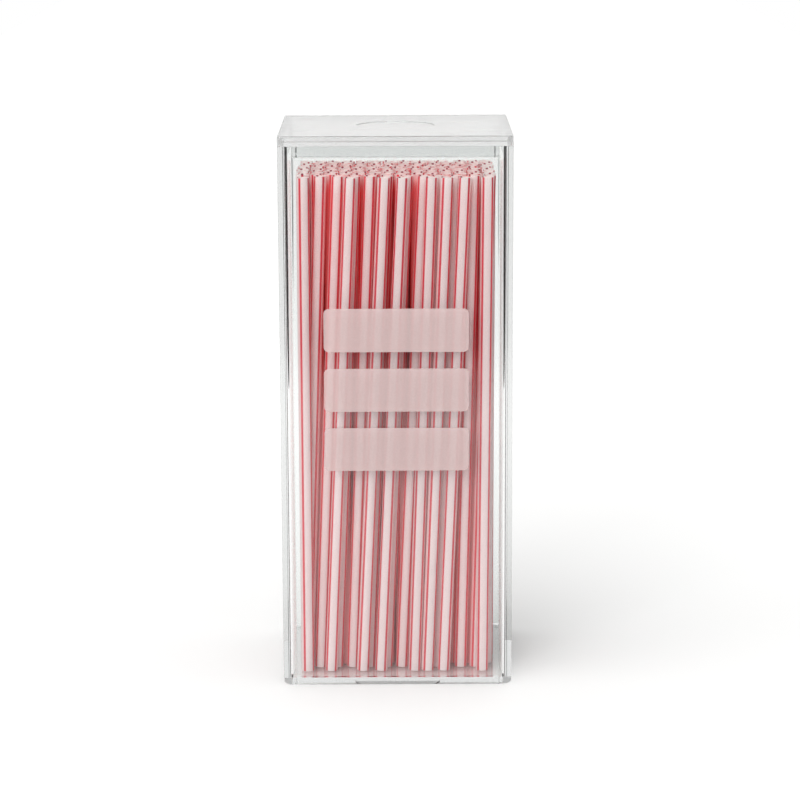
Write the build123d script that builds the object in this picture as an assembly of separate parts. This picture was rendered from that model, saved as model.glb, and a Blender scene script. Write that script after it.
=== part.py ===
from build123d import *
import math
import os
import random

# Clear counter-top straw box: a rectangular sleeve bonded onto a base plate, a lift-off
# lid with a locating plate under it, a frosted print on the front, and a full load of
# straight drinking straws. Millimetres, +Z up, front at -Y, origin at the centre of the
# underside.

# Box
BOX_WIDTH = 90.0
BOX_DEPTH = 76.0
WALL = 2.4
BASE_THICKNESS = 3.0
BASE_CORNER_RADIUS = 4.6
SLEEVE_CORNER_RADIUS = 0.25
INNER_CORNER_RADIUS = 3.0
EDGE_POLISH = 0.35
BOND_LINE = 0.05

# Round recess that is milled into the underside of the base
UNDER_RECESS_RADIUS = 17.2
UNDER_RECESS_DEPTH = 0.35

# Lid
LID_THICKNESS = 3.9
LID_CORNER_RADIUS = 0.6
LID_SEAT_GAP = 0.1
LOCATOR_THICKNESS = 5.0
LOCATOR_CLEARANCE = 2.8
LOCATOR_CORNER_RADIUS = 1.5
FINGER_RECESS_RADIUS = 15.5
FINGER_RECESS_DEPTH = 0.25

# Frosted print: three plain bars, one above the other
PRINT_WIDTH = 56.0
PRINT_BAR_HEIGHT = 17.0
PRINT_BAR_PITCH = 23.5
PRINT_BARS = 3
PRINT_CENTRE_HEIGHT = 119.0
PRINT_THICKNESS = 0.1
PRINT_CORNER_RADIUS = 2.0
PRINT_GAP = 0.03

# Straws
STRAW_DIAMETER = 5.0
STRAW_WALL = 0.2
STRAW_LENGTH = 197.4
STRAW_SPACING = 0.15
STRAWS_TO_FRONT = 6.1
STRAWS_TO_BACK = 8.2
STRAWS_TO_SIDES = 3.6
STRAW_TO_FLOOR = 0.1
STRAW_HEADROOM = 8.2
STRAWS_MISSING_PER_ROW = 1
STRAW_SEED = 7

# The two front rows lean to one side as they fell. Each pair is a straw's foot and its
# mouth, as a share of the way from the box's middle to the bundle's outermost straw.
FIRST_ROW = [
    (-0.978, -0.978), (-0.723, -0.477), (-0.378, -0.121), (-0.178, 0.077),
    (0.184, 0.378), (0.326, 0.542), (0.504, 0.734), (0.921, 0.970),
]
SECOND_ROW = [
    (-0.986, -0.797), (-0.844, -0.614), (-0.666, -0.438), (-0.490, -0.268),
    (-0.312, -0.093), (-0.126, 0.115), (0.047, 0.301), (0.241, 0.449),
    (0.438, 0.636), (0.690, 0.830), (0.855, 0.997),
]

# What follows from the sizes above
floor_height = BASE_THICKNESS
sleeve_foot = BASE_THICKNESS + BOND_LINE
locator_foot = floor_height + STRAW_LENGTH + STRAW_HEADROOM
lid_underside = locator_foot + LOCATOR_THICKNESS + BOND_LINE
rim_height = lid_underside - LID_SEAT_GAP
inner_width = BOX_WIDTH - 2 * WALL
inner_depth = BOX_DEPTH - 2 * WALL
straw_radius = STRAW_DIAMETER / 2
straw_pitch = STRAW_DIAMETER + STRAW_SPACING
straw_reach = inner_width / 2 - STRAWS_TO_SIDES - straw_radius
row_capacity = int(2 * straw_reach / straw_pitch + 1e-6) + 1

os.makedirs("parts", exist_ok=True)


def save(name, shape):
    shape.label = name
    export_step(shape, f"parts/{name}.step")


def plate(width, depth, thickness, corner_radius, z):
    """A flat sheet with rounded corners in plan, its underside at height z."""
    outline = RectangleRounded(width, depth, corner_radius)
    return Pos(0, 0, z) * extrude(outline, amount=thickness)


def rim_edges(solid, height):
    """The edges of a solid that lie flat at a height."""
    return solid.edges().filter_by_position(Axis.Z, height, height, inclusive=(True, True))


def round_recess(radius, depth, z):
    """The disc that a round recess takes out, from z upwards."""
    return Pos(0, 0, z) * extrude(Circle(radius), amount=depth)


def make_base_plate():
    base = plate(BOX_WIDTH, BOX_DEPTH, BASE_THICKNESS, BASE_CORNER_RADIUS, 0)
    base = chamfer(rim_edges(base, 0), EDGE_POLISH)
    return base - round_recess(UNDER_RECESS_RADIUS, UNDER_RECESS_DEPTH, 0)


def make_sleeve():
    """The four walls, one tube with rounded corners inside and out."""
    height = rim_height - sleeve_foot
    outside = plate(BOX_WIDTH, BOX_DEPTH, height, SLEEVE_CORNER_RADIUS, sleeve_foot)
    inside = plate(inner_width, inner_depth, height, INNER_CORNER_RADIUS, sleeve_foot)
    return outside - inside


def make_lid_plate():
    lid = plate(BOX_WIDTH, BOX_DEPTH, LID_THICKNESS, LID_CORNER_RADIUS, lid_underside)
    top = lid_underside + LID_THICKNESS
    lid = chamfer(rim_edges(lid, top), EDGE_POLISH)
    return lid - round_recess(FINGER_RECESS_RADIUS, FINGER_RECESS_DEPTH, top - FINGER_RECESS_DEPTH)


def make_lid_locator():
    """The plate under the lid that drops inside the sleeve."""
    width = inner_width - 2 * LOCATOR_CLEARANCE
    depth = inner_depth - 2 * LOCATOR_CLEARANCE
    locator = plate(width, depth, LOCATOR_THICKNESS, LOCATOR_CORNER_RADIUS, locator_foot)
    return chamfer(rim_edges(locator, locator_foot), EDGE_POLISH)


def make_frosted_print():
    face_y = -BOX_DEPTH / 2 - PRINT_GAP
    bars = []
    for row in range(PRINT_BARS):
        height = PRINT_CENTRE_HEIGHT + (row - (PRINT_BARS - 1) / 2) * PRINT_BAR_PITCH
        face = Plane(origin=(0, face_y, height), x_dir=(1, 0, 0), z_dir=(0, -1, 0))
        outline = face * RectangleRounded(PRINT_WIDTH, PRINT_BAR_HEIGHT, PRINT_CORNER_RADIUS)
        bars.append(extrude(outline, amount=PRINT_THICKNESS))
    return Compound(children=bars)


def make_tube():
    """One straw, standing on the origin."""
    ring = Circle(straw_radius) - Circle(straw_radius - STRAW_WALL)
    return extrude(ring, amount=STRAW_LENGTH)


def stand_straw(tube, foot_x, mouth_x, y):
    """A straw that leans within its row, its lowest rim just clear of the floor."""
    lean = math.asin((mouth_x - foot_x) / STRAW_LENGTH)
    foot_z = floor_height + STRAW_TO_FLOOR + straw_radius * abs(math.sin(lean))
    axis = (math.sin(lean), 0, math.cos(lean))
    place = Plane(origin=(foot_x, y, foot_z), x_dir=(0, 1, 0), z_dir=axis)
    return place.location * tube


def keep_apart(places):
    """Pushes a row's straws along until none is nearer its neighbour than the pitch."""
    settled = []
    lowest = -straw_reach
    for place in places:
        place = max(place, lowest)
        settled.append(place)
        lowest = place + straw_pitch
    highest = straw_reach
    for index in reversed(range(len(settled))):
        settled[index] = min(settled[index], highest)
        highest = settled[index] - straw_pitch
    return settled


def leaning_row(shares):
    """Feet and mouths of a front row, from its shares of the reach."""
    shares = shares[:row_capacity]
    feet = keep_apart([foot * straw_reach for foot, mouth in shares])
    mouths = keep_apart([mouth * straw_reach for foot, mouth in shares])
    return list(zip(feet, mouths))


def loose_row(source):
    """Feet and mouths of a row whose spare width falls at random between its straws."""
    count = row_capacity - STRAWS_MISSING_PER_ROW
    spare = 2 * straw_reach - (count - 1) * straw_pitch
    ends = []
    for end in range(2):
        slips = sorted(source.uniform(0, spare) for straw in range(count))
        ends.append([-straw_reach + index * straw_pitch + slip for index, slip in enumerate(slips)])
    return list(zip(ends[0], ends[1]))


def straw_rows():
    """Every row from front to back, as its y and its straws' feet and mouths."""
    first_y = -inner_depth / 2 + STRAWS_TO_FRONT + straw_radius
    depth_for_rows = inner_depth - STRAWS_TO_FRONT - STRAWS_TO_BACK - STRAW_DIAMETER
    count = int(depth_for_rows / straw_pitch + 1e-6) + 1
    source = random.Random(STRAW_SEED)
    rows = []
    for index in range(count):
        y = first_y + index * straw_pitch
        if index == 0:
            rows.append((y, leaning_row(FIRST_ROW)))
        elif index == 1:
            rows.append((y, leaning_row(SECOND_ROW)))
        else:
            rows.append((y, loose_row(source)))
    return rows


save("base_plate", make_base_plate())
save("sleeve", make_sleeve())
save("lid_plate", make_lid_plate())
save("lid_locator", make_lid_locator())
save("frosted_print", make_frosted_print())

tube = make_tube()
total = 0
for number, (y, row) in enumerate(straw_rows(), start=1):
    straws = [stand_straw(tube, foot, mouth, y) for foot, mouth in row]
    total += len(straws)
    if number <= 2:
        for place, straw in enumerate(straws, start=1):
            save(f"straw_{number}_{place:02d}", straw)
    else:
        save(f"straw_row_{number:02d}", Compound(children=straws))
print("straws:", total)
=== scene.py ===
import math
import bpy
from mathutils import Matrix, Vector


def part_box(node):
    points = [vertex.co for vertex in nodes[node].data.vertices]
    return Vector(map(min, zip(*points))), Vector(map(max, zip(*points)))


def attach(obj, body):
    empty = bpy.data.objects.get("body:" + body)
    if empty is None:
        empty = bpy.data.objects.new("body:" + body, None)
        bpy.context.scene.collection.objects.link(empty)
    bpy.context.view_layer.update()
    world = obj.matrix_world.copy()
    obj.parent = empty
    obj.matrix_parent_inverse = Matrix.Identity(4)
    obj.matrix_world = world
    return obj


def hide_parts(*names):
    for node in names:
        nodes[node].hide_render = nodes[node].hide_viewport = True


# A clear box with a lift-off lid, full of striped drinking straws, on a white table.
# Metres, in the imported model's frame: +Z up, front at -Y.

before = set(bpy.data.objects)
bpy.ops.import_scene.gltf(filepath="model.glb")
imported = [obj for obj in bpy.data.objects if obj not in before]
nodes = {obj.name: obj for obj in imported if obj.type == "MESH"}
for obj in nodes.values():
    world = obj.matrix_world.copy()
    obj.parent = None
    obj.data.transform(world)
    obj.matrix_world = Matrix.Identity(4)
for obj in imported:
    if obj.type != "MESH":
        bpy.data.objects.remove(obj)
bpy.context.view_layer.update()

STRAW_NODES = sorted(name for name in nodes if name.startswith("straw_"))

# Camera, found by fitting the box's edges in an 800 x 800 picture
PICTURE_SIDE = 800
FOCAL_PX = 2788.0
SENSOR_MM = 36.0
CLIP_END = 50
CAMERA_PLACE = Vector((0.00106, -1.0950, 0.3374))
CAMERA_PITCH = 0.2073
CAMERA_YAW = 0.0003
CAMERA_ROLL = -0.0042

# Table. Its front edge is out of the picture, in front of the box, and it runs far back.
# Painted shade darkens it out over TABLE_FADE at the front, painted light whitens it between
# the far start and full distances, and painted red light makes it pink under the straws.
TABLE_HALF_WIDTH = 0.62
TABLE_FRONT = -0.78
TABLE_FADE = 0.24
TABLE_BACK = 12.0
TABLE_TOP = -0.0001
TABLE_COLOUR = (0.77, 0.77, 0.765)
# Painted shade at the table's front edge.
TABLE_EDGE_SHADE = (0.06, 0.06, 0.06)
# Painted light: the table is whiter far behind the box.
TABLE_FAR_LIGHT = (0.89, 0.89, 0.885)
FAR_LIGHT_STARTS = 0.02
FAR_LIGHT_FULL = 0.50
# Painted red light on the table under the straws.
TABLE_PAINTED_PINK_LIGHT = (0.77, 0.60, 0.60)
PAINTED_PINK_HALF_WIDTH = 0.042
PAINTED_PINK_HALF_DEPTH = 0.036
PAINTED_PINK_FULL_SHARE = 0.8

# Light. The world is white where "low" is under DARK_STARTS and nearly black over DARK_FULL.
AMBIENT_BEHIND = 0.92
AMBIENT_IN_FRONT = 0.94
HEIGHT_SHARE = 0.55
DARK_STARTS = 0.50
DARK_FULL = 0.72
DARK_COLOUR = (0.04, 0.04, 0.04)
SUN_STRENGTH = 0.78
SUN_FROM = Vector((-0.45, -0.36, 1.0))
SUN_SPREAD = math.radians(38)
SOFTBOX_SIZE = (1.4, 0.9)
SOFTBOX_PLACE = Vector((-0.5, -1.7, 0.75))
SOFTBOX_AIM = Vector((0, 0, 0.10))
SOFTBOX_WATTS = 26

# Acrylic. Upright faces are those whose normal is flatter than UPRIGHT_BELOW, and side
# faces those whose normal is turned sideways past SIDE_STARTS.
PLASTIC_IOR = 1.49
SHEET_COLOUR = (0.950, 0.962, 0.957)
# Painted shade: faces turned sideways take this greyer colour.
SIDE_SHADE_COLOUR = (0.70, 0.71, 0.71)
SHADOW_COLOUR = (0.97, 0.975, 0.975)
HAZE_COLOUR = (0.86, 0.87, 0.865)
DEPTH_COLOUR = (0.10, 0.10, 0.10)
SLEEVE_DENSITY = 3.0
BASE_DENSITY = 1.6
UPRIGHT_BELOW = 0.9
SIDE_STARTS = 0.25
EDGE_ROUGHNESS = 0.03
SIDE_ROUGHNESS = 0.50
EDGE_HAZE = 0.12
LID_EDGE_HAZE = 0.22
LID_FACE_HAZE = 0.16
RIPPLE_SCALE = 28
RIPPLE_STRENGTH = 0.02
RIPPLE_HEIGHT = 0.001

# Print
INK_ALPHA = 0.52
INK_ROUGHNESS = 0.55
INK_DARK = (0.50, 0.385, 0.375)
INK_PALE = (0.57, 0.45, 0.44)
GRAIN_SCALE = 1800

# Straw shapes
STRIPES = 4
STRIPE_WIDTH = 0.00095
FACES_BETWEEN_STRIPES = 5
STRAW_WALL = 0.0002
WHITE_SLOT = 0
RED_SLOT = 1
FRONT_ROWS = ("straw_1_", "straw_2_")
FRONT_TURN_SPREAD = math.radians(30)
TURN_STEP = 0.61803398875
TINT_STEP = 0.7548776662
RINGS_ALONG = (0.36, 0.60)
RINGS_BELOW_MOUTH = (0.0, 0.0015, 0.003, 0.0045, 0.006)
MOUTH_DEPTH = 0.006
SHARP_ANGLE = math.radians(50)

# Straw plastic. Lines drawn along it are LINES_AROUND by LINES_ALONG noise cells, and each
# straw takes its own stretch of them.
LINES_AROUND = 60
LINES_ALONG = 1.2
LINE_LENGTH = 0.01
LINES_BETWEEN_STRAWS = 7
LINE_SHARE = 0.45
TINT_SHARE = 0.55
LINE_STRENGTH = 0.15
LINE_HEIGHT = 0.0001
STRAW_ROUGHNESS = 0.32
# Each plastic's "inside" colour is the painted red light it takes inside the bundle.
WHITE_PLASTIC = {
    "pale": (0.97, 0.92, 0.92), "dusky": (0.94, 0.86, 0.86), "inside": (1.0, 0.27, 0.28),
    "mouth": (0.98, 0.96, 0.94), "see_through": 0.54,
}
RED_PLASTIC = {
    "pale": (0.80, 0.12, 0.15), "dusky": (0.72, 0.08, 0.11), "inside": (0.94, 0.04, 0.05),
    "mouth": (0.34, 0.05, 0.09), "see_through": 0.46,
}

# Red light between the straws, painted into the straws' colour. Distances are from the
# bundle's sides, its mouths or the table, and TURNED_FULL and TURNED_STARTS say how
# squarely a wall faces a side.
STRAW_PAINTED_PINK = 0.32
STRAW_PAINTED_PINK_STARTS = 0.0050
STRAW_PAINTED_PINK_FULL = 0.0066
PAINTED_RED_STARTS = 0.0058
PAINTED_RED_FULL = 0.0092
PAINTED_RED_FULL_BELOW_MOUTH = 0.006
PAINTED_RED_FULL_HEIGHT = 0.13
PAINTED_RED_LOW_HEIGHT = 0.08
PAINTED_RED_LOW_SHARE = 0.5
TURNED_PAINTED_RED = 0.38
TURNED_FULL = 0.30
TURNED_STARTS = 0.74

# Light paths: the clear walls and thin tubes lie many deep
CLEAR_BOUNCES = 32
OTHER_BOUNCES = 12


def camera_matrix():
    """Right, up and backward axes of a camera that looks along +Y, turned and rolled."""
    forward = Vector((
        math.sin(CAMERA_YAW) * math.cos(CAMERA_PITCH),
        math.cos(CAMERA_YAW) * math.cos(CAMERA_PITCH),
        -math.sin(CAMERA_PITCH),
    ))
    right = Vector((math.cos(CAMERA_YAW), -math.sin(CAMERA_YAW), 0))
    up = right.cross(forward)
    rolled_right = right * math.cos(CAMERA_ROLL) + up * math.sin(CAMERA_ROLL)
    rolled_up = up * math.cos(CAMERA_ROLL) - right * math.sin(CAMERA_ROLL)
    turn = Matrix((rolled_right, rolled_up, -forward)).transposed().to_4x4()
    return Matrix.Translation(CAMERA_PLACE) @ turn


def add_camera():
    data = bpy.data.cameras.new("camera")
    data.sensor_width = SENSOR_MM
    data.lens = SENSOR_MM * FOCAL_PX / PICTURE_SIDE
    data.clip_end = CLIP_END
    camera = bpy.data.objects.new("camera", data)
    bpy.context.scene.collection.objects.link(camera)
    camera.matrix_world = camera_matrix()
    bpy.context.scene.camera = camera


class Nodes:
    """A short way to build a node tree."""

    def __init__(self, tree):
        self.tree = tree
        tree.nodes.clear()

    def add(self, kind, **settings):
        node = self.tree.nodes.new("ShaderNode" + kind)
        for name, value in settings.items():
            setattr(node, name, value)
        return node

    def link(self, output, socket):
        self.tree.links.new(output, socket)

    def blend(self, share, first, second):
        """A colour between two; each may be a colour or an output."""
        node = self.add("Mix", data_type="RGBA")
        sockets = {socket.identifier: socket for socket in node.inputs}
        self.link(share, sockets["Factor_Float"])
        for name, value in (("A_Color", first), ("B_Color", second)):
            if isinstance(value, tuple):
                sockets[name].default_value = (*value, 1)
            else:
                self.link(value, sockets[name])
        return next(socket for socket in node.outputs if socket.identifier == "Result_Color")

    def math(self, operation, first, second=0):
        node = self.add("Math", operation=operation)
        for socket, value in zip(node.inputs, (first, second)):
            if isinstance(value, (int, float)):
                socket.default_value = value
            else:
                self.link(value, socket)
        return node.outputs[0]

    def axes(self, vector):
        """The X, Y and Z outputs of a vector."""
        split = self.add("SeparateXYZ")
        self.link(vector, split.inputs[0])
        return split.outputs

    def mix(self, share, first, second):
        """A shader between two; the share may be a number or an output."""
        node = self.add("MixShader")
        if isinstance(share, (int, float)):
            node.inputs["Fac"].default_value = share
        else:
            self.link(share, node.inputs["Fac"])
        self.link(first.outputs[0], node.inputs[1])
        self.link(second.outputs[0], node.inputs[2])
        return node

    def ramp(self, share, first, last):
        """A colour ramp between two (position, colour) stops."""
        node = self.add("ValToRGB")
        for element, (position, colour) in zip(node.color_ramp.elements, (first, last)):
            element.position = position
            element.color = (*colour, 1)
        self.link(share, node.inputs["Fac"])
        return node.outputs["Color"]

    def bump(self, height, strength, distance):
        node = self.add("Bump")
        node.inputs["Strength"].default_value = strength
        node.inputs["Distance"].default_value = distance
        self.link(height, node.inputs["Height"])
        return node.outputs["Normal"]

    def noise(self, place, scale, detail):
        node = self.add("TexNoise")
        node.inputs["Scale"].default_value = scale
        node.inputs["Detail"].default_value = detail
        self.link(place, node.inputs["Vector"])
        return node.outputs["Fac"]

    def smooth(self, value, start, full):
        """0 before start, 1 past full and a smooth step between."""
        node = self.add("MapRange", interpolation_type="SMOOTHSTEP")
        node.inputs["From Min"].default_value = start
        node.inputs["From Max"].default_value = full
        self.link(value, node.inputs["Value"])
        return node.outputs[0]

    def finish(self, shader, kind="OutputMaterial"):
        out = self.add(kind)
        self.link(shader.outputs[0], out.inputs["Surface"])
        return out


def new_material(name):
    material = bpy.data.materials.new(name)
    material.use_nodes = True
    return material, Nodes(material.node_tree)


def dull_edges(made, sheet, edge_roughness, side_roughness, edge_haze, face_haze):
    """Upright faces less polished than the flat ones, as a sawn and buffed edge is, side faces
    duller still and greyer with painted shade, and a haze over the sheet. Gives back its shader."""
    shape = made.add("NewGeometry")
    normal = made.axes(shape.outputs["Normal"])
    upright = made.math("LESS_THAN", made.math("ABSOLUTE", normal["Z"]), UPRIGHT_BELOW)
    rough = made.math("MULTIPLY", upright, edge_roughness)
    if side_roughness:
        sideways = made.math("GREATER_THAN", made.math("ABSOLUTE", normal["X"]), SIDE_STARTS)
        rough = made.math("MAXIMUM", rough, made.math("MULTIPLY", sideways, side_roughness))
        # Painted shade: faces turned sideways are painted greyer.
        tint = made.blend(sideways, SHEET_COLOUR, SIDE_SHADE_COLOUR)
        made.link(tint, sheet.inputs["Base Color"])
    made.link(rough, sheet.inputs["Roughness"])
    haze = made.add("BsdfTranslucent")
    haze.inputs["Color"].default_value = (*HAZE_COLOUR, 1)
    share = made.math("MULTIPLY", upright, edge_haze - face_haze)
    return made.mix(made.math("ADD", share, face_haze), sheet, haze)


def clear_acrylic(name, density=0, edge_roughness=0, side_roughness=0, edge_haze=0, face_haze=0):
    """Polished clear sheet. Lamps reach through it, its surface has a faint ripple, and
    light can fade on its long way along the sheet."""
    material, made = new_material(name)
    sheet = made.add("BsdfPrincipled")
    sheet.inputs["Base Color"].default_value = (*SHEET_COLOUR, 1)
    sheet.inputs["Transmission Weight"].default_value = 1.0
    sheet.inputs["Roughness"].default_value = 0.0
    sheet.inputs["IOR"].default_value = PLASTIC_IOR
    place = made.add("TexCoord")
    ripple = made.noise(place.outputs["Object"], RIPPLE_SCALE, detail=1)
    made.link(made.bump(ripple, RIPPLE_STRENGTH, RIPPLE_HEIGHT), sheet.inputs["Normal"])
    surface = sheet
    if edge_roughness:
        surface = dull_edges(made, sheet, edge_roughness, side_roughness, edge_haze, face_haze)
    through = made.add("BsdfTransparent")
    through.inputs["Color"].default_value = (*SHADOW_COLOUR, 1)
    rays = made.add("LightPath")
    out = made.finish(made.mix(rays.outputs["Is Shadow Ray"], surface, through))
    if density:
        depth = made.add("VolumeAbsorption")
        depth.inputs["Color"].default_value = (*DEPTH_COLOUR, 1)
        depth.inputs["Density"].default_value = density
        made.link(depth.outputs[0], out.inputs["Volume"])
    return material


def frosted_ink():
    """Thin translucent white print with a fine grain."""
    material, made = new_material("frosted_ink")
    ink = made.add("BsdfPrincipled")
    ink.inputs["Roughness"].default_value = INK_ROUGHNESS
    ink.inputs["Alpha"].default_value = INK_ALPHA
    place = made.add("TexCoord")
    grain = made.noise(place.outputs["Object"], GRAIN_SCALE, detail=3)
    made.link(made.ramp(grain, (0, INK_DARK), (1, INK_PALE)), ink.inputs["Base Color"])
    made.finish(ink)
    return material


def straw_plastic(name, pale, dusky, inside, mouth, see_through):
    """Thin extruded plastic: fine lines along the straw, some tint per straw, painted red light
    inside the bundle, its own colour at the mouth, and light that comes through the wall."""
    material, made = new_material(name)
    line = made.add("UVMap", uv_map="around_along")
    stretch = made.add("Mapping")
    stretch.inputs["Scale"].default_value = (LINES_AROUND, LINES_ALONG, 1)
    made.link(line.outputs["UV"], stretch.inputs["Vector"])
    drawn = made.noise(stretch.outputs["Vector"], 1.0, detail=4)
    tint = made.add("Attribute", attribute_name="straw_tint")
    shade = made.math("ADD", made.math("MULTIPLY", drawn, LINE_SHARE),
                      made.math("MULTIPLY", tint.outputs["Fac"], TINT_SHARE))
    colour = made.ramp(shade, (0, dusky), (1, pale))
    # Painted red light: the colour is blended towards the plastic's "inside" red by each
    # corner's painted share.
    painted_red = made.add("Attribute", attribute_name="straw_painted_red")
    colour = made.blend(painted_red.outputs["Fac"], colour, inside)
    at_mouth = made.add("Attribute", attribute_name="straw_mouth")
    colour = made.blend(at_mouth.outputs["Fac"], colour, mouth)
    plastic = made.add("BsdfPrincipled")
    plastic.inputs["Roughness"].default_value = STRAW_ROUGHNESS
    plastic.inputs["IOR"].default_value = PLASTIC_IOR
    made.link(colour, plastic.inputs["Base Color"])
    made.link(made.bump(drawn, LINE_STRENGTH, LINE_HEIGHT), plastic.inputs["Normal"])
    through = made.add("BsdfTranslucent")
    made.link(colour, through.inputs["Color"])
    made.finish(made.mix(see_through, plastic, through))
    return material


def table_top():
    """White table. Painted light makes it a little whiter far behind the box, painted shade
    darkens it out towards its front edge, and painted red light makes it pink under the
    straws, where the light has come down past their stripes."""
    material, made = new_material("table_top")
    place = made.add("TexCoord")
    along = made.axes(place.outputs["Object"])
    # Painted red light: pink under the straws, the plain table colour outside that patch.
    across = made.math("DIVIDE", made.math("ABSOLUTE", along["X"]), PAINTED_PINK_HALF_WIDTH)
    deep = made.math("DIVIDE", made.math("ABSOLUTE", along["Y"]), PAINTED_PINK_HALF_DEPTH)
    clear = made.smooth(made.math("MAXIMUM", across, deep), PAINTED_PINK_FULL_SHARE, 1.0)
    colour = made.blend(clear, TABLE_PAINTED_PINK_LIGHT, TABLE_COLOUR)
    # Painted shade: darker towards the table's front edge.
    near = made.smooth(along["Y"], TABLE_FRONT, TABLE_FRONT + TABLE_FADE)
    colour = made.blend(near, TABLE_EDGE_SHADE, colour)
    # Painted light: whiter far behind the box.
    colour = made.blend(made.smooth(along["Y"], FAR_LIGHT_STARTS, FAR_LIGHT_FULL), colour, TABLE_FAR_LIGHT)
    paint = made.add("BsdfDiffuse")
    made.link(colour, paint.inputs["Color"])
    made.finish(paint)
    return material


def studio_world():
    """White behind and overhead, dark at the sides and in front, past the table's edges.
    What falls on the straws and the table is an even soft light."""
    world = bpy.data.worlds.new("studio")
    world.use_nodes = True
    bpy.context.scene.world = world
    made = Nodes(world.node_tree)
    place = made.add("TexCoord")
    way = made.axes(place.outputs["Generated"])
    forward = made.math("MULTIPLY", way["Y"], -1.0)
    away = made.math("MAXIMUM", made.math("ABSOLUTE", way["X"]), forward)
    low = made.math("SUBTRACT", away, made.math("MULTIPLY", way["Z"], HEIGHT_SHARE))
    seen = made.add("Background")
    dim = made.ramp(low, (DARK_STARTS, (1, 1, 1)), (DARK_FULL, DARK_COLOUR))
    made.link(dim, seen.inputs["Color"])
    soft = made.add("Background")
    soft.inputs["Color"].default_value = (1, 1, 1, 1)
    level = made.add("MapRange")
    level.inputs["From Min"].default_value = -1
    level.inputs["From Max"].default_value = 1
    level.inputs["To Min"].default_value = AMBIENT_BEHIND
    level.inputs["To Max"].default_value = AMBIENT_IN_FRONT
    made.link(forward, level.inputs["Value"])
    made.link(level.outputs[0], soft.inputs["Strength"])
    rays = made.add("LightPath").outputs
    looks = made.math("MAXIMUM", rays["Is Camera Ray"], rays["Is Glossy Ray"])
    looks = made.math("MAXIMUM", looks, rays["Is Transmission Ray"])
    not_diffuse = made.math("LESS_THAN", rays["Diffuse Depth"], 0.5)
    made.finish(made.mix(made.math("MULTIPLY", looks, not_diffuse), soft, seen), "OutputWorld")


def add_sun():
    data = bpy.data.lights.new("key", "SUN")
    data.energy = SUN_STRENGTH
    data.angle = SUN_SPREAD
    sun = bpy.data.objects.new("key", data)
    bpy.context.scene.collection.objects.link(sun)
    sun.rotation_euler = SUN_FROM.to_track_quat("Z", "Y").to_euler()


def add_softbox():
    """A broad soft lamp in front of the box, a little to the left."""
    data = bpy.data.lights.new("softbox", "AREA")
    data.shape = "RECTANGLE"
    data.size = SOFTBOX_SIZE[0]
    data.size_y = SOFTBOX_SIZE[1]
    data.energy = SOFTBOX_WATTS
    lamp = bpy.data.objects.new("softbox", data)
    bpy.context.scene.collection.objects.link(lamp)
    lamp.location = SOFTBOX_PLACE
    lamp.rotation_euler = (SOFTBOX_PLACE - SOFTBOX_AIM).to_track_quat("Z", "Y").to_euler()
    lamp.visible_glossy = False
    lamp.visible_transmission = False
    lamp.visible_camera = False


def add_table():
    mesh = bpy.data.meshes.new("table")
    corners = [
        (-TABLE_HALF_WIDTH, TABLE_FRONT, TABLE_TOP), (TABLE_HALF_WIDTH, TABLE_FRONT, TABLE_TOP),
        (TABLE_HALF_WIDTH, TABLE_BACK, TABLE_TOP), (-TABLE_HALF_WIDTH, TABLE_BACK, TABLE_TOP),
    ]
    mesh.from_pydata(corners, [], [(0, 1, 2, 3)])
    table = bpy.data.objects.new("table", mesh)
    bpy.context.scene.collection.objects.link(table)
    table.data.materials.append(table_top())


def islands(mesh):
    """The vertex groups of a mesh's separate solids."""
    parent = list(range(len(mesh.vertices)))

    def root(index):
        while parent[index] != index:
            parent[index] = parent[parent[index]]
            index = parent[index]
        return index

    for edge in mesh.edges:
        parent[root(edge.vertices[0])] = root(edge.vertices[1])
    groups = {}
    for index in range(len(parent)):
        groups.setdefault(root(index), []).append(mesh.vertices[index].co.copy())
    return list(groups.values())


def merged_islands(mesh):
    """Islands whose points coincide count as one: a tube's sharp rims split its mesh."""
    groups = islands(mesh)
    by_point = {}
    joined = []
    for group in groups:
        keys = {tuple(round(value, 6) for value in point) for point in group}
        meets = sorted({id(by_point[key]) for key in keys if key in by_point})
        home = next((item for item in joined if id(item) in meets), None)
        if home is None:
            home = {"points": [], "keys": set()}
            joined.append(home)
        for other in [item for item in joined if id(item) in meets and item is not home]:
            home["points"] += other["points"]
            home["keys"] |= other["keys"]
            joined.remove(other)
        home["points"] += group
        home["keys"] |= keys
        for key in home["keys"]:
            by_point[key] = home
    return [item["points"] for item in joined]


def middle_of(points):
    """The middle of the box round some points, which is a ring's centre however its
    points are spaced."""
    low = Vector(tuple(min(point[axis] for point in points) for axis in range(3)))
    high = Vector(tuple(max(point[axis] for point in points) for axis in range(3)))
    return (low + high) / 2


def straw_axes(node):
    """Foot, mouth and radius of each straw that a CAD node holds, from left to right."""
    found = []
    for points in merged_islands(nodes[node].data):
        low = min(point.z for point in points)
        high = max(point.z for point in points)
        middle = (low + high) / 2
        feet = [point for point in points if point.z < middle]
        mouths = [point for point in points if point.z >= middle]
        foot = middle_of(feet)
        mouth = middle_of(mouths)
        axis = (mouth - foot).normalized()
        arms = [point - foot for point in points]
        radius = max((arm - axis * arm.dot(axis)).length for arm in arms)
        found.append((foot, mouth, radius))
    return sorted(found, key=lambda straw: straw[0].x)


def turn_of(node, number):
    """How far a straw is turned about its own axis. In the front rows most straws show a
    white band between two stripes, and the others lie at any turn."""
    chance = (number * TURN_STEP) % 1.0
    if node.startswith(FRONT_ROWS):
        return math.tau / STRIPES / 2 + FRONT_TURN_SPREAD * (chance - 0.5)
    return math.tau * chance


def ease(low, high, value):
    """0 below low, 1 above high and a smooth step between."""
    share = min(1.0, max(0.0, (value - low) / (high - low)))
    return share * share * (3 - 2 * share)


def bundle_reach():
    """The left, right, front and back of the whole bundle of straws."""
    corners = [corner for name in STRAW_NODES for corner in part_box(name)]
    across = [corner[0] for corner in corners]
    deep = [corner[1] for corner in corners]
    return min(across), max(across), min(deep), max(deep)


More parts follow.
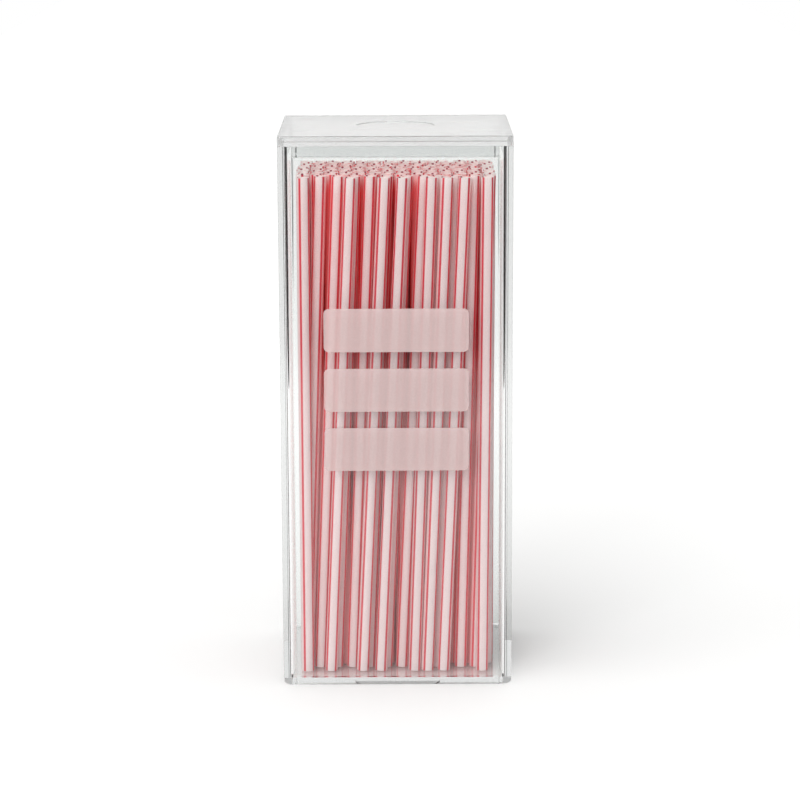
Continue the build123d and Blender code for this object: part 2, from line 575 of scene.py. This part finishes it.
def painted_red_light(point, outward, below_mouth, reach):
    """How much painted red light a place gets: the light between the straws has passed many
    stripes, so the painted red grows away from the bundle's sides and from its mouths, and
    where a straw's wall faces its neighbours. Low down it is painted thinner, for the table's
    white light."""
    sides = (
        (point.x - reach[0], -outward.x), (reach[1] - point.x, outward.x),
        (point.y - reach[2], -outward.y), (reach[3] - point.y, outward.y),
    )
    inside, facing = min(sides)
    painted_pink = STRAW_PAINTED_PINK * ease(STRAW_PAINTED_PINK_STARTS, STRAW_PAINTED_PINK_FULL, inside)
    turned = TURNED_PAINTED_RED * (1 - ease(TURNED_FULL, TURNED_STARTS, facing))
    painted_red = max(ease(PAINTED_RED_STARTS, PAINTED_RED_FULL, inside), turned)
    painted_red *= ease(0, PAINTED_RED_FULL_BELOW_MOUTH, below_mouth)
    high = ease(PAINTED_RED_LOW_HEIGHT, PAINTED_RED_FULL_HEIGHT, point.z)
    painted_red *= PAINTED_RED_LOW_SHARE + (1 - PAINTED_RED_LOW_SHARE) * high
    return painted_pink + (1 - painted_pink) * painted_red


def ring_angles(radius, turn):
    """The angles of a straw's points, with an edge at each side of each stripe."""
    half = STRIPE_WIDTH / 2 / radius
    quarter = math.tau / STRIPES
    angles = []
    for stripe in range(STRIPES):
        start = turn + stripe * quarter
        angles.append(start - half)
        clear = quarter - 2 * half
        for step in range(FACES_BETWEEN_STRIPES):
            angles.append(start + half + clear * step / FACES_BETWEEN_STRIPES)
    return angles


def tube_rings(foot, mouth, radius):
    """A tube's rings as centre, radius, height and depth below the mouth: up the outside,
    over the mouth and down the bore."""
    axis = (mouth - foot).normalized()
    length = (mouth - foot).length
    outside = [(foot, radius, 0.0, length)]
    for share in RINGS_ALONG:
        outside.append((foot.lerp(mouth, share), radius, length * share, length * (1 - share)))
    for below in reversed(RINGS_BELOW_MOUTH):
        outside.append((mouth - axis * below, radius, length - below, below))
    bore = [(centre, distance - STRAW_WALL, height, below)
            for centre, distance, height, below in reversed(outside)]
    return outside + bore


def add_straws(node, first_number, reach, white, red):
    """One piece for a CAD node: each of its straws as a thin tube with its stripes."""
    points, faces, slots, around, tints, painted_reds, mouths = [], [], [], [], [], [], []
    for offset, (foot, mouth, radius) in enumerate(straw_axes(node)):
        number = first_number + offset
        axis = (mouth - foot).normalized()
        side = axis.cross(Vector((0, 1, 0))).normalized()
        other = side.cross(axis)
        angles = ring_angles(radius, turn_of(node, number))
        tint = (number * TINT_STEP) % 1.0
        start = len(points)
        rings = tube_rings(foot, mouth, radius)
        shades = []
        for centre, distance, height, below in rings:
            for angle in angles:
                outward = side * math.cos(angle) + other * math.sin(angle)
                point = centre + outward * distance
                points.append(point)
                # Painted red light at each point of the tube.
                shades.append(painted_red_light(point, outward, below, reach))
        count = len(angles)
        outside_faces = len(rings) // 2
        for ring in range(len(rings)):
            upper = (ring + 1) % len(rings)
            for index in range(count):
                after = (index + 1) % count
                corners = [ring * count + index, ring * count + after,
                           upper * count + after, upper * count + index]
                faces.append([start + corner for corner in corners])
                at_mouth = ring >= outside_faces - 1 and rings[upper][3] <= MOUTH_DEPTH
                stripe, step = divmod(index, FACES_BETWEEN_STRIPES + 1)
                striped = step == 0
                shows = stripe % 2 == 0 if at_mouth else ring < outside_faces
                slots.append(RED_SLOT if striped and shows else WHITE_SLOT)
                left, right = index / count, (index + 1) / count
                low, high = (rings[end][2] / LINE_LENGTH + number * LINES_BETWEEN_STRAWS
                             for end in (ring, upper))
                around += [(left, low), (right, low), (right, high), (left, high)]
                tints += [tint] * 4
                # Each corner carries its share of painted red light to the straw colour.
                painted_reds += [shades[corner] for corner in corners]
                mouths += [1.0 if at_mouth else 0.0] * 4
    mesh = bpy.data.meshes.new(node + "_tube")
    mesh.from_pydata([tuple(point) for point in points], [], faces)
    mesh.materials.append(white)
    mesh.materials.append(red)
    mesh.polygons.foreach_set("material_index", slots)
    mesh.polygons.foreach_set("use_smooth", [True] * len(faces))
    lines = mesh.uv_layers.new(name="around_along")
    lines.data.foreach_set("uv", [value for pair in around for value in pair])
    for name, values in (("straw_tint", tints), ("straw_painted_red", painted_reds), ("straw_mouth", mouths)):
        mesh.attributes.new(name, "FLOAT", "CORNER").data.foreach_set("value", values)
    mesh.update()
    mesh.set_sharp_from_angle(angle=SHARP_ANGLE)
    piece = bpy.data.objects.new(node + "_tube", mesh)
    bpy.context.scene.collection.objects.link(piece)
    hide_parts(node)
    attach(piece, "box")


def dress(node, material):
    """Gives a CAD node its finish."""
    slots = nodes[node].data.materials
    if not len(slots):
        slots.append(material)
    for index in range(len(slots)):
        nodes[node].material_slots[index].link = "OBJECT"
        nodes[node].material_slots[index].material = material


add_camera()
studio_world()
add_sun()
add_softbox()
add_table()

dress("sleeve", clear_acrylic("clear_acrylic", SLEEVE_DENSITY))
dress("base_plate", clear_acrylic(
    "base_acrylic", BASE_DENSITY, EDGE_ROUGHNESS, SIDE_ROUGHNESS, EDGE_HAZE))
dress("lid_locator", clear_acrylic(
    "locator_acrylic", edge_roughness=EDGE_ROUGHNESS, edge_haze=EDGE_HAZE))
dress("lid_plate", clear_acrylic(
    "lid_acrylic", 0, EDGE_ROUGHNESS, SIDE_ROUGHNESS, LID_EDGE_HAZE, LID_FACE_HAZE))
dress("frosted_print", frosted_ink())

white_plastic = straw_plastic("straw_white", **WHITE_PLASTIC)
red_plastic = straw_plastic("straw_red", **RED_PLASTIC)
reach = bundle_reach()
straw_number = 0
for name in STRAW_NODES:
    add_straws(name, straw_number, reach, white_plastic, red_plastic)
    straw_number += len(straw_axes(name))
print("straws drawn:", straw_number)

scene = bpy.context.scene
scene.view_settings.view_transform = "Standard"
scene.cycles.max_bounces = CLEAR_BOUNCES
scene.cycles.transmission_bounces = CLEAR_BOUNCES
scene.cycles.transparent_max_bounces = CLEAR_BOUNCES
scene.cycles.glossy_bounces = OTHER_BOUNCES
scene.cycles.diffuse_bounces = OTHER_BOUNCES
